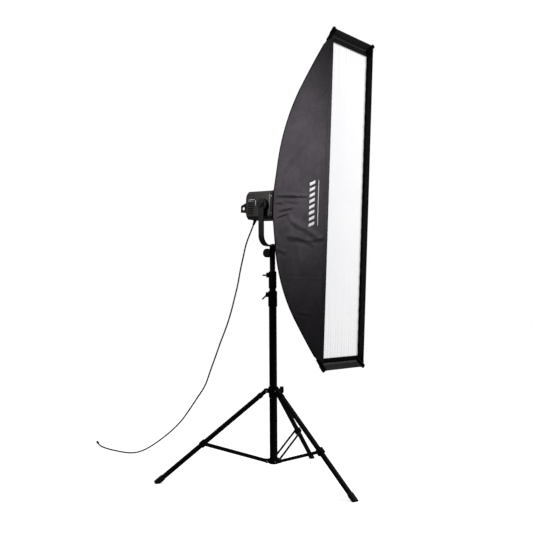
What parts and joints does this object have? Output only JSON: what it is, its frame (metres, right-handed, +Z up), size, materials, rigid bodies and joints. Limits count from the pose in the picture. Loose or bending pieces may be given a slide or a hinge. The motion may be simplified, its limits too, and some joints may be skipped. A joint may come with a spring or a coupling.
{
  "type": "strip softbox with lamp head on a light stand",
  "caption": "Narrow recessed strip softbox on a lamp head, tilting yoke, telescopic column and folding three-legged stand, with a trailing lead.",
  "frame": {"origin": "on the floor, on the axis of the stand column", "axes": "+Z up along the column; the softbox faces -Y; +X runs across the lamp, along its tilt axis"},
  "size_m": [0.9053, 1.9125, 1.9089],
  "materials": {
    "tube_black": "satin",
    "cast_black": "matte",
    "knob_black": "satin",
    "flat_bar_black": "satin",
    "rivet_steel": "satin",
    "foot_rubber": "matte",
    "yoke_paint": "satin",
    "lamp_shell": "satin",
    "lamp_trim": "matte",
    "screw_steel": "satin",
    "display_glass": "gloss",
    "dial_plastic": "satin",
    "bare_aluminium": "satin",
    "board_white": "satin",
    "fan_black": "satin",
    "dome_glass": "gloss",
    "ring_alloy": "satin",
    "rod_fibre": "satin",
    "box_fabric": "satin",
    "diffuser_cloth": "matte",
    "cord_rubber": "satin"
  },
  "bodies": {
    "base": {"base_tube": "tube_black", "base_hub": "cast_black", "brace_pins": "rivet_steel", "lower_clamp": "cast_black"},
    "lower_lever": {"lower_clamp_lever": "knob_black"},
    "collar": {"leg_collar": "cast_black", "leg_pins": "rivet_steel"},
    "collar_lock": {"collar_knob": "knob_black"},
    "middle": {"middle_tube": "tube_black", "upper_clamp": "cast_black"},
    "upper_lever": {"upper_clamp_lever": "knob_black"},
    "top": {"top_tube": "tube_black", "spigot": "rivet_steel"},
    "yoke_arm": {"yoke": "yoke_paint", "yoke_bolt": "screw_steel", "yoke_adapter": "yoke_paint", "power_cord": "cord_rubber", "cord_plug": "cord_rubber"},
    "adapter_lock": {"adapter_knob": "knob_black"},
    "tilt_lock": {"tilt_knob": "knob_black"},
    "lamp": {"lamp_housing": "lamp_shell", "rear_cover": "lamp_trim", "rear_screws": "screw_steel", "rear_grip": "lamp_trim", "status_display": "display_glass", "front_bezel": "lamp_trim", "bayonet_insert": "ring_alloy", "heatsink": "bare_aluminium", "fan_frame": "fan_black", "led_module": "board_white", "glass_dome": "dome_glass", "pivot_discs": "lamp_trim", "pivot_bolt": "screw_steel", "cord_gland": "cord_rubber"},
    "fan": {"fan_rotor": "fan_black"},
    "dial": {"dimmer_dial": "dial_plastic"},
    "rocker": {"power_switch": "dial_plastic"},
    "latch": {"mount_latch": "knob_black"},
    "softbox": {"speed_ring": "ring_alloy", "rods": "rod_fibre", "left_panel": "box_fabric", "right_panel": "box_fabric", "top_panel": "box_fabric", "bottom_panel": "box_fabric", "rear_collar": "box_fabric", "corner_caps": "box_fabric", "front_diffuser": "diffuser_cloth", "inner_baffle": "diffuser_cloth"},
    "leg_1_body": {"leg_1": "tube_black", "foot_1": "foot_rubber", "brace_clip_1": "cast_black"},
    "brace_1_body": {"brace_1": "flat_bar_black"},
    "leg_2_body": {"leg_2": "tube_black", "foot_2": "foot_rubber", "brace_clip_2": "cast_black"},
    "brace_2_body": {"brace_2": "flat_bar_black"},
    "leg_3_body": {"leg_3": "tube_black", "foot_3": "foot_rubber", "brace_clip_3": "cast_black"},
    "brace_3_body": {"brace_3": "flat_bar_black"}
  },
  "joints": [
    {"name": "leg_fold", "type": "slide", "parent": "base", "child": "collar", "axis": [0, 0, 1], "range_m": [0, 0.34421]},
    {"name": "leg_1_swing", "type": "hinge", "parent": "collar", "child": "leg_1_body", "pos_m": [-0.02429, 0.02234, 0.395], "axis": [-0.6769, -0.7361, 0], "range_deg": [0, 47.18]},
    {"name": "brace_1_swing", "type": "hinge", "parent": "base", "child": "brace_1_body", "pos_m": [-0.02429, 0.02234, 0.083], "axis": [0.6769, 0.7361, 0], "range_deg": [0, 68.45]},
    {"name": "leg_2_swing", "type": "hinge", "parent": "collar", "child": "leg_2_body", "pos_m": [-0.0072, -0.0322, 0.395], "axis": [0.9759, -0.2181, 0], "range_deg": [0, 47.18]},
    {"name": "brace_2_swing", "type": "hinge", "parent": "base", "child": "brace_2_body", "pos_m": [-0.0072, -0.0322, 0.083], "axis": [-0.9759, 0.2181, 0], "range_deg": [0, 68.45]},
    {"name": "leg_3_swing", "type": "hinge", "parent": "collar", "child": "leg_3_body", "pos_m": [0.03149, 0.00987, 0.395], "axis": [-0.299, 0.9542, 0], "range_deg": [0, 47.18]},
    {"name": "brace_3_swing", "type": "hinge", "parent": "base", "child": "brace_3_body", "pos_m": [0.03149, 0.00987, 0.083], "axis": [0.299, -0.9542, 0], "range_deg": [0, 68.45]},
    {"name": "lower_clamp_screw", "type": "hinge", "parent": "base", "child": "lower_lever", "pos_m": [-0.01671, 0.01992, 0.827], "axis": [0.766, 0.6428, 0], "range_deg": [-40, 120]},
    {"name": "middle_slide", "type": "slide", "parent": "base", "child": "middle", "axis": [0, 0, 1], "range_m": [-0.01, 0.48]},
    {"name": "upper_clamp_screw", "type": "hinge", "parent": "middle", "child": "upper_lever", "pos_m": [-0.01511, 0.018, 0.9155], "axis": [0.766, 0.6428, 0], "range_deg": [-80, 80]},
    {"name": "top_slide", "type": "slide", "parent": "middle", "child": "top", "axis": [0, 0, 1], "range_m": [-0.03, 0.43]},
    {"name": "collar_screw", "type": "hinge", "parent": "collar", "child": "collar_lock", "pos_m": [0, 0, 0.398], "axis": [0.7361, -0.6769, 0], "range_deg": [0, 360]},
    {"name": "yoke_pan", "type": "hinge", "parent": "top", "child": "yoke_arm", "pos_m": [0, 0, 0.9895], "axis": [0, 0, 1], "continuous": true},
    {"name": "adapter_screw", "type": "hinge", "parent": "yoke_arm", "child": "adapter_lock", "pos_m": [0, 0, 1.0141], "axis": [-1, 0, 0], "range_deg": [0, 360]},
    {"name": "tilt_screw", "type": "hinge", "parent": "yoke_arm", "child": "tilt_lock", "pos_m": [0, 0, 1.231], "axis": [1, 0, 0], "range_deg": [0, 360]},
    {"name": "lamp_tilt", "type": "hinge", "parent": "yoke_arm", "child": "lamp", "pos_m": [0, 0, 1.231], "axis": [1, 0, 0], "range_deg": [-85, 8], "deforming": ["power_cord"]},
    {"name": "softbox_roll", "type": "hinge", "parent": "lamp", "child": "softbox", "pos_m": [0, 0, 1.231], "axis": [0, -0.9987, -0.0506], "continuous": true},
    {"name": "fan_spin", "type": "hinge", "parent": "lamp", "child": "fan", "pos_m": [0, 0, 1.231], "axis": [0, -0.9987, -0.0506], "continuous": true},
    {"name": "dial_turn", "type": "hinge", "parent": "lamp", "child": "dial", "pos_m": [0.03, 0.11364, 1.26079], "axis": [0, 0.9987, 0.0506], "range_deg": [-150, 150]},
    {"name": "switch_rock", "type": "hinge", "parent": "lamp", "child": "rocker", "pos_m": [0.03, 0.11646, 1.22488], "axis": [1, 0, 0], "range_deg": [-12, 0]},
    {"name": "latch_slide", "type": "slide", "parent": "lamp", "child": "latch", "axis": [0, 0.0506, -0.9987], "range_m": [0, 0.005], "stiffness_N_per_m": 400}
  ],
  "couplings": [
    {"joint": "leg_1_swing", "follows": "leg_fold", "rad_per_m": 2.3925},
    {"joint": "brace_1_swing", "follows": "leg_fold", "rad_per_m": 3.4709},
    {"joint": "leg_2_swing", "follows": "leg_fold", "rad_per_m": 2.3925},
    {"joint": "brace_2_swing", "follows": "leg_fold", "rad_per_m": 3.4709},
    {"joint": "leg_3_swing", "follows": "leg_fold", "rad_per_m": 2.3925},
    {"joint": "brace_3_swing", "follows": "leg_fold", "rad_per_m": 3.4709}
  ]
}
